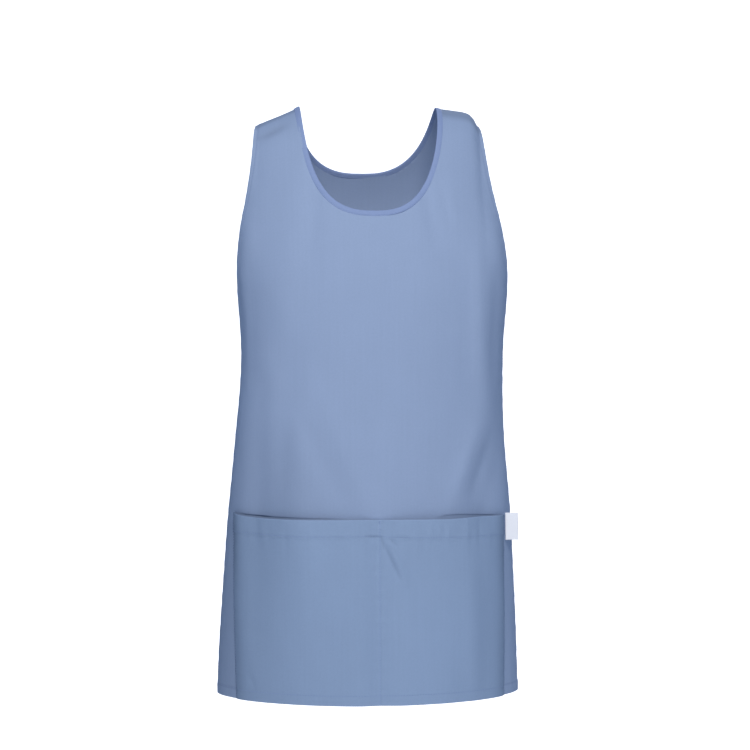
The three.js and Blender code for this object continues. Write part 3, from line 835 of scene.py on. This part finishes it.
def stitching(name, lines, material):
    """Short rounded threads laid end to end along lines, joined into one mesh."""
    points = []
    faces = []
    sides = tube_quads(THREAD_RINGS, THREAD_CORNERS)[:-1].reshape(-1, 4)
    angles = 2 * math.pi * np.arange(THREAD_CORNERS)[:, None] / THREAD_CORNERS
    for places, normals in lines:
        walked = np.concatenate([[0.0], np.cumsum(np.linalg.norm(np.diff(places, axis=0), axis=1))])
        for start in np.arange(STITCH_PITCH / 2, walked[-1] - STITCH_LENGTH, STITCH_PITCH):
            ends = [start, start + STITCH_LENGTH / 2, start + STITCH_LENGTH]
            a, middle, b = [at_each(end, walked, places) for end in ends]
            up = at_each(ends[1], walked, normals)
            along = unit(b - a)
            up = unit(up - along * (up @ along))
            beside = np.cross(along, up)
            first = len(points)
            for t in np.linspace(-1.0, 1.0, THREAD_RINGS):
                radius = THREAD * max(THREAD_END, math.sqrt(1.0 - t * t))
                arch = THREAD * (THREAD_ARCH * (1.0 - t * t) - THREAD_SUNK)
                centre = middle + along * (t * STITCH_LENGTH / 2) + up * arch
                points.extend(centre + radius * (np.cos(angles) * beside + np.sin(angles) * up))
            faces.extend((first + sides).tolist())
            last = len(points) - THREAD_CORNERS
            faces.append(range(first, first + THREAD_CORNERS))
            faces.append(range(len(points) - 1, last - 1, -1))
    threads = add_mesh(name, points, faces)
    threads.data.materials.append(material)
    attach(threads, "root")
    return threads


def thread_material(name, colour):
    """Matt polyester sewing thread with its twist."""
    material, tree, shader = plain_material(name, 0.55, 0.25)
    place = tree.nodes.new("ShaderNodeTexCoord")
    twist = tree.nodes.new("ShaderNodeTexNoise")
    twist.inputs["Scale"].default_value = 900.0
    tree.links.new(place.outputs["Object"], twist.inputs["Vector"])
    tone = maths(tree, "ADD", maths(tree, "MULTIPLY", twist.outputs[0], 0.3), 0.85)
    colour_by(tree, shader, colour, tone)
    relief_by(tree, shader, twist.outputs[0], 0.3)
    return material


SEWN_STEP = 0.0016


def edge_lines(cloth, edge):
    """Stitch lines down both side edges of a panel and along its hem."""
    lines = []
    hem = cloth.downs[-1] - (HEM_TURN - STITCH_IN)
    for side in (-1, 1):
        down = np.arange(cloth.downs[0] + 0.002, hem, SEWN_STEP)
        lines.append(sewn_places(cloth, side * (between(*edge, down) - EDGE_TURN + STITCH_IN), down))
    half = between(*edge, hem) - EDGE_TURN + STITCH_IN
    across = np.arange(-half, half, SEWN_STEP)
    lines.append(sewn_places(cloth, across, hem))
    return lines


panel_twill = cloth_material("panel_twill", (151, 168, 196))
blue_thread = thread_material("blue_thread", (132, 150, 188))
front.data.materials.append(panel_twill)
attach(front, "root")
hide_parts("front_panel")
front_threads = stitching("front_stitching", edge_lines(front_cloth, front_edge), blue_thread)

# Back panel: one cut of the same twill, plain and a little narrower, seamed to the front at the shoulders.
# Its edges are turned in the same way.

# Hanging folds of the back in millimetres, as the front's fine folds
BACK_FOLDS = metres([
    (-100, 180, -112, 660, 18, 6.4), (-34, 240, -40, 680, 16, -4.8),
    (52, 160, 58, 670, 17, 5.8), (116, 240, 124, 680, 14, -4.8),
    (-110, 60, -40, 150, 10, -2), (104, 55, 44, 140, 10, -2),
    (-150, 300, -70, 370, 14, 1.4), (150, 295, 80, 360, 14, 1.4),
])
BACK_RIPPLE_START = 0.31
BACK_PITCH = 0.0042


def back_wall(across, down, drop, off):
    rise = along_folds(BACK_FOLDS, across, drop) + ripple(across + BACK_RIPPLE_START, down)
    return panel_faces(rise, 0.0, down, off, hem_down[1] - down)


back_neck = down_at(1, BACK_NECK_DROP)
back_downs = panel_rows(1, BACK_PITCH, (back_neck + 0.002, back_neck + 0.009))
back_outer = between(*back_edge, back_downs)
back_shares = edge_shares(back_rows[0][1], EDGE_TURN, BACK_PITCH)
back_cloth = Cloth(1, back_downs, {-1: back_outer, 1: back_outer}, back_shares, back_wall)
back = back_cloth.build("back_cloth", round_neck(back_neckline))
back.data.materials.append(panel_twill)
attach(back, "root")
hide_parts("back_panel")
back_threads = stitching("back_stitching", edge_lines(back_cloth, back_edge), blue_thread)

# Pocket panel: one wide patch of the same twill over the lower front. Its sides, its bottom and a seam down
# its middle are stitched to the front, and its top edge has a one inch hem that stands a little open.
POCKET_TOP_MARGIN = 0.035
POCKET_HEM_MARGIN = 0.060
POCKET_RIGHT_INSET = 0.011
POCKET_HEM = 0.026
POCKET_GAPE = 0.003
POCKET_GAPE_FADE = 2.5
POCKET_SIDE_SWELL = 0.0052
POCKET_SIDE_REACH = 0.0110
MIDDLE_SEAM = 0.005
MIDDLE_HOLD = 0.016
POCKET_LAYER = 0.0006
POCKET_DENT = 0.0003
HEM_STITCH_IN = 0.0016
SIDE_STITCH_IN = 0.0022
CREASE_DEPTH = 0.0008
# Pitch of the gathers at the pocket's middle seam, its hem and its sides
POCKET_PITCHES = (0.017, 0.019, 0.015)
# Stitched line of the pocket's hem, as its top edge
HEM_SLIP = metres([
    (-183, -7), (-130, -6), (-90, -5), (0, -5.4), (30, -3.8), (70, -3.4), (175, -2.6),
])
HEM_SLIP_START = 0.01
HEM_SLIP_REACH = 0.55 * POCKET_HEM


def pocket_half(down, side):
    """Half width of the pocket; its right side starts further in at the top."""
    share = np.clip((down - pocket_top) / (hem_down[-1] - pocket_top), 0.0, 1.0)
    margin = POCKET_TOP_MARGIN + share * (POCKET_HEM_MARGIN - POCKET_TOP_MARGIN)
    return between(*front_edge, down) - margin - (POCKET_RIGHT_INSET * (1.0 - share) if side > 0 else 0.0)


# Creases of the pocket in millimetres, as the front's fine folds
POCKET_FOLDS = metres([
    (13.5, 502, 33.5, 548, 5, 2.2), (8, 502, 28, 548, 3.4, -0.9),
    (16, 499.5, 24.5, 506.5, 1.6, -1), (-11, 496.2, 7.5, 496.6, 1.1, -1),
    (20, 496, 36, 497, 1, -0.8), (-128, 476, -131, 506, 4.5, 0.4),
    (-138, 478, -140, 508, 4.5, -0.4), (60, 482, 62, 500, 3, 0.8),
    (76, 482, 77, 498, 2.6, -0.8), (104, 474, 106, 508, 4.5, 0.7),
    (122, 474, 124, 510, 4.5, -0.7), (-147.5, 655, -140, 672, 4, -0.8),
    (112, 530, 116, 690, 14, 2.6),
])
# Painted shade in the pocket's creases and puckers, in metres: from across, from drop, to across, to drop,
# spread, strength
POCKET_LINES = [
    (0.0080, 0.5000, 0.0265, 0.5400, 0.0016, 0.08),
    (0.0070, 0.4970, 0.0085, 0.5080, 0.0009, 0.14),
    (0.0155, 0.4990, 0.0240, 0.5060, 0.0007, 0.12),
    (-0.0110, 0.4962, 0.0075, 0.4966, 0.0009, 0.22),
    (0.0190, 0.4968, 0.0370, 0.4975, 0.0008, 0.12),
]
# Lines of the pocket in metres: where, spread, and height or share of the colour taken away as painted
# shade (below zero, painted highlight). Places are measured from the middle seam, from the sides,
# from the top edge or across.
SEAM_RELIEF = [(-0.0008, 0.0010, 0.0007), (0.0010, 0.0009, -0.0006)]
# Painted shade beside the middle seam's ridge and a painted highlight on its lit flank
SEAM_LINES = [(0.0014, LINE_WIDTH, 0.03), (-0.0006, LINE_WIDTH, -0.08)]
# Painted shade where the pocket turns in at its sides
SIDE_LINES = [(0.0014, 0.0020, 0.14), (0.0050, 0.0130, 0.12)]
# Painted shade in the hem's stitched dent and a painted highlight along the top edge
TOP_LINES = [(POCKET_HEM - HEM_STITCH_IN, LINE_WIDTH, 0.03), (0.0, 0.0012, -0.07)]
# Painted shade at the pocket's puckered top corners, fading downwards
CORNER_LINES = [(0.0030, 0.0120, 0.14)]
CORNER_FADE = (0.030, 0.100)
# Painted light on the lower right of the pocket
PAINTED_LIGHT_PLACE = [(0.066, 0.045, -0.06)]
PAINTED_LIGHT_START = (0.02, 0.15)
# Painted shade on the pocket's left: from and to across
LEFT_START = (0.060, 0.155)


def lines_at(lines, place):
    """Sum of bumps along lines; strengths are in the last column."""
    return sum(strength * close_to(place - at, spread) for at, spread, strength in lines)


def pocket_wall(across, down, drop, off):
    deep = down - pocket_top
    share = deep / (hem_down[-1] - pocket_top)
    half = off + np.abs(across)
    beside = across - MIDDLE_SEAM
    from_seam = np.abs(beside) / np.where(beside > 0, half - MIDDLE_SEAM, half + MIDDLE_SEAM)
    slack = np.sin(math.pi * from_seam) ** 2 * (1.0 - share ** POCKET_GAPE_FADE)
    swell = POCKET_SIDE_SWELL * (1.0 - np.exp(-off / POCKET_SIDE_REACH))
    swell = swell * (1.0 - close_to(beside, MIDDLE_HOLD))
    low = CLOTH / 2 + SEAM_GAP + POCKET_GAPE * slack + swell
    rise = along_folds(front_folds, across, drop) + ripple(across, down)
    edge = np.interp(across, *zip(*EDGE_SLIP)) * (1.0 - ramp(deep, 0.0, POCKET_HEM))
    hem = np.interp(across, *zip(*HEM_SLIP)) * ramp(deep, 0.0, HEM_SLIP_START)
    slip = edge + hem * close_to(deep - POCKET_HEM, HEM_SLIP_REACH)
    loose = along_folds(POCKET_FOLDS, across, drop + slip)
    gather = pucker(down, beside, POCKET_PITCHES[0]) + pucker(across, deep - POCKET_HEM, POCKET_PITCHES[1])
    gather = gather + pucker(down, off - SIDE_STITCH_IN, POCKET_PITCHES[2])
    in_hem = 1.0 - ramp(deep, POCKET_HEM - HEM_STITCH_IN / 2, POCKET_HEM + HEM_STITCH_IN)
    dent = POCKET_DENT * close_to(deep - POCKET_HEM + HEM_STITCH_IN, LINE_WIDTH)
    high = low + CLOTH + POCKET_LAYER * in_hem - dent
    high = high + lines_at(SEAM_RELIEF, beside) + np.maximum(loose, -CREASE_DEPTH)
    low = low + np.maximum(loose, 0.0)
    # Painted shade and painted highlights at the middle seam, the sides and the top edge
    shade = lines_at(SEAM_LINES, beside) + lines_at(SIDE_LINES, off) + lines_at(TOP_LINES, deep)
    # Painted shade in the pocket's creases and puckers, and on its left side
    shade = shade + along_folds(POCKET_LINES, across, drop + slip) + SIDE_SHADE * ramp(-across, *LEFT_START)
    # Painted shade at the top corners
    shade = shade + lines_at(CORNER_LINES, off) * (1.0 - ramp(deep, *CORNER_FADE))
    # Painted light on the lower right
    shade = shade + lines_at(PAINTED_LIGHT_PLACE, across) * ramp(deep, *PAINTED_LIGHT_START)
    return rise + low, rise + high + gather, slip, shade


pocket_downs = np.concatenate([
    pocket_top + np.array([0.0, 0.0006, 0.0020]),
    np.linspace(pocket_top + 0.004, pocket_top + POCKET_HEM - 0.003, 12),
    pocket_top + POCKET_HEM + np.array([-0.0016, -0.0006, 0.0004, 0.0014, 0.0030]),
    np.linspace(pocket_top + POCKET_HEM + 0.005, hem_down[-1] - 0.0015, 88),
    hem_down[-1] - np.array([0.0006, 0.0]),
])
pocket_edges = {side: pocket_half(pocket_downs, side) for side in (-1, 1)}
pocket_shares = edge_shares(pocket_edges[-1][0], 0.004, 0.0019)
pocket_cloth = Cloth(-1, pocket_downs, pocket_edges, pocket_shares, pocket_wall)
pocket = pocket_cloth.build("pocket_cloth")
# The pocket's twill is the panels' colour made darker: painted shade for the lower, double part of the apron
pocket_twill_painted_shade = cloth_material("pocket_twill_painted_shade", (143, 163, 191))
pocket.data.materials.append(pocket_twill_painted_shade)
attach(pocket, "root")
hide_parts("pocket_panel")


def pocket_lines():
    """Stitch lines of the pocket: its hem, its sides, its middle seam and the apron's hem over its foot."""
    hem = pocket_top + POCKET_HEM - HEM_STITCH_IN
    foot = hem_down[-1] - (HEM_TURN - STITCH_IN)
    lines = []
    for level in (hem, foot):
        across = np.arange(0.003 - pocket_half(level, -1), pocket_half(level, 1) - 0.003, SEWN_STEP)
        lines.append(sewn_places(pocket_cloth, across, level))
    down = np.arange(pocket_top + 0.0015, hem_down[-1] - 0.001, SEWN_STEP)
    for side in (-1, 1):
        lines.append(sewn_places(pocket_cloth, side * (pocket_half(down, side) - SIDE_STITCH_IN), down))
    lines.append(sewn_places(pocket_cloth, MIDDLE_SEAM, down))
    bar = np.linspace(-0.003, 0.003, 5) + MIDDLE_SEAM
    for level in (0.0022, 0.0032):
        lines.append(sewn_places(pocket_cloth, bar, pocket_top + level))
    return lines


pocket_threads = stitching("pocket_stitching", pocket_lines(), blue_thread)

# Neck binding: a bias strip of the same twill folded over the raw neck edge and stitched close to its
# inner fold, all round the neck hole and over both shoulder seams.
BINDING_THICKNESS = 2 * CLOTH
BINDING_STATIONS = 70
BINDING_CORNERS = 20
# Stitched dent of the binding: its depth, and its place and spread as shares of the width
BINDING_DENT = 0.35
DENT_PLACE = 0.78
DENT_SPREAD = 0.12
# Fullness of the folded edge and its waves in radians a metre
BINDING_SWELL = 0.10
BINDING_WAVES = 480.0


def bulge(share, power):
    """Power of a share from -1 to 1 that keeps its sign."""
    return np.copysign(np.abs(share) ** power, share)


def binding_loop():
    stations = []
    lay = []
    walked = 0.0
    angles = 2 * math.pi * np.arange(BINDING_CORNERS) / BINDING_CORNERS
    out_shares = 0.5 + 0.5 * bulge(np.cos(angles), 0.5)
    heights = BINDING_THICKNESS / 2 * bulge(np.sin(angles), 0.7)
    heights *= 1.0 - BINDING_DENT * close_to(out_shares - DENT_PLACE, DENT_SPREAD)
    quarters = [(-1, front_neckline, 1, True), (1, back_neckline, -1, False)]
    quarters += [(1, back_neckline, 1, True), (-1, front_neckline, -1, False)]
    for turn, neckline, side, rising in quarters:
        for index in range(BINDING_STATIONS):
            share = index / BINDING_STATIONS
            share = 1.0 - share if rising else share
            ends = []
            for distance in (0.0, BINDING_WIDTH):
                across, down = neckline.at(share, distance)
                place, normal, _ = smooth_cloth(turn, np.array([[side * across]]), [down])
                if turn < 0:
                    drop = -place[0, 0, 2]
                    place = place + normal * along_folds(front_folds, side * across, drop)
                ends.append((place[0, 0], normal[0, 0]))
            (edge, normal), (inside, _) = ends
            walked += neckline.walked[-1] / BINDING_STATIONS
            swell = 1.0 + BINDING_SWELL * math.sin(walked * BINDING_WAVES) * (1.0 - out_shares)
            stations.append(edge + np.outer(out_shares, inside - edge) + np.outer(heights * swell, normal))
            lay.append(np.stack([out_shares * BINDING_WIDTH, np.full(BINDING_CORNERS, walked)], 1))
    return np.array(stations), np.concatenate(lay)


binding_places, binding_lay = binding_loop()
binding_quads = tube_quads(len(binding_places), BINDING_CORNERS).reshape(-1, 4)
binding = add_mesh("neck_binding_strip", binding_places.reshape(-1, 3), binding_quads.tolist())
keep_lay(binding, binding_lay)
binding_twill = cloth_material("binding_twill", (141, 158, 194), mottle=0.10)
binding.data.materials.append(binding_twill)
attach(binding, "root")
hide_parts("neck_binding")
SEWN_CORNER = 4
TOP_CORNER = 5
outwards = unit(binding_places[:, TOP_CORNER] - binding_places[:, -TOP_CORNER])
binding_threads = stitching("binding_stitching", [(binding_places[:, SEWN_CORNER], outwards)], blue_thread)

# Side straps: a folded strip of the same twill on each side, sewn inside both panels at the waist so that
# it holds front and back together.
STRAP_HEIGHT = 0.025
STRAP_BELOW_ARMHOLE = 0.035
STRAP_LAP = 0.024
STRAP_THICKNESS = 2 * CLOTH
STRAP_CLEARANCE = 2 * SEAM_GAP
# Folded edges of the strap: how thin and how wide they are, and their stitched dent
STRAP_EDGE = 0.55
STRAP_EDGE_WIDTH = 0.002
STRAP_STITCH_IN = 0.003
STRAP_DENT = 0.0003


def side_strap(name, side):
    rows = np.linspace(0.0, 1.0, 13)
    columns = np.linspace(0.0, 1.0, 60)
    drops = ARMHOLE_DROP + STRAP_BELOW_ARMHOLE + rows * STRAP_HEIGHT
    downs = np.array([down_at(-1, drop) for drop in drops])
    start = between(*front_edge, downs) - STRAP_LAP
    length = 2 * STRAP_LAP + SIDE_OPENING
    across = side * (start[:, None] + length * columns)
    places, normals, _ = smooth_cloth(-1, across, downs)
    middle = -(CLOTH / 2 + STRAP_CLEARANCE + STRAP_THICKNESS / 2)
    edge = np.minimum(rows, 1.0 - rows)[:, None] * STRAP_HEIGHT
    body = STRAP_THICKNESS / 2 * (STRAP_EDGE + (1.0 - STRAP_EDGE) * ramp(edge, 0.0, STRAP_EDGE_WIDTH))
    body = body - STRAP_DENT * close_to(edge - STRAP_STITCH_IN, DENT_WIDTH) + 0 * across
    face = places + normals * (middle + body)[..., None]
    lining = places + normals * (middle - body)[..., None]
    lay = np.stack([across.ravel(), np.repeat(downs, len(columns))], 1)
    ids = np.arange(across.size).reshape(across.shape)
    if side < 0:
        ids = ids[:, ::-1]
    strap = closed_cloth(name, face.reshape(-1, 3), lining.reshape(-1, 3), lay, grid_quads(ids))
    strap.data.materials.append(panel_twill)
    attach(strap, "root")
    return strap


strap_left = side_strap("waist_strap_left", -1)
strap_right = side_strap("waist_strap_right", 1)
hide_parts("side_strap_left")
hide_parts("side_strap_right")

# Label tab: a short piece of white woven tape, folded double and caught in the pocket's right side seam.
# It is left blank.
LABEL_WIDTH = 0.0155
LABEL_HEIGHT = 0.0315
LABEL_THICKNESS = 0.0012
LABEL_TURN = 0.2
LABEL_RISE = 0.0020
LABEL_STAND = 0.0012
LABEL_BOW = 0.0006
LABEL_WAVE = 0.0003
LABEL_WAVE_TURN = 7.0
LABEL_ROUND_START = 0.93


def label_tape():
    rows = np.linspace(0.0, 1.0, 41)
    columns = np.linspace(0.0, 1.0, 22)
    outwards = np.array([math.cos(LABEL_TURN), math.sin(LABEL_TURN), 0.0])
    facing = np.array([math.sin(LABEL_TURN), -math.cos(LABEL_TURN), 0.0])
    end = np.maximum(0.0, (columns - LABEL_ROUND_START) / (1.0 - LABEL_ROUND_START))
    half = np.outer(LABEL_THICKNESS / 2 * (1.0 - 0.5 * end ** 2), facing)
    face = []
    lining = []
    lay = []
    for row in rows:
        down = pocket_top - LABEL_RISE + row * LABEL_HEIGHT
        place, normal, _ = smooth_cloth(-1, np.array([[pocket_half(down, 1)]]), [down])
        drop = -place[0, 0, 2]
        lift = CLOTH + SEAM_GAP + along_folds(broad_folds, pocket_half(down, 1), drop)
        seat = place[0, 0] + normal[0, 0] * lift + outwards * (SEAM_GAP + LABEL_THICKNESS + LABEL_STAND)
        bow = LABEL_BOW * math.sin(math.pi * row) * columns
        bow = bow + LABEL_WAVE * math.sin(LABEL_WAVE_TURN * row) * columns ** 2
        middle = seat + np.outer(LABEL_WIDTH * columns, outwards) + np.outer(bow, facing)
        face.extend(middle + half)
        lining.extend(middle - half)
        lay.extend((column * LABEL_WIDTH, row * LABEL_HEIGHT) for column in columns)
    ids = np.arange(len(face)).reshape(len(rows), len(columns))
    return closed_cloth("label_tape", np.array(face), np.array(lining), np.array(lay), grid_quads(ids))


label = label_tape()
tape = cloth_material("tape_white", (250, 250, 252), rib_pitch=0.0006, bump=0.3, mottle=0.02)
label.data.materials.append(tape)
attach(label, "root")
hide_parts("label_tab")
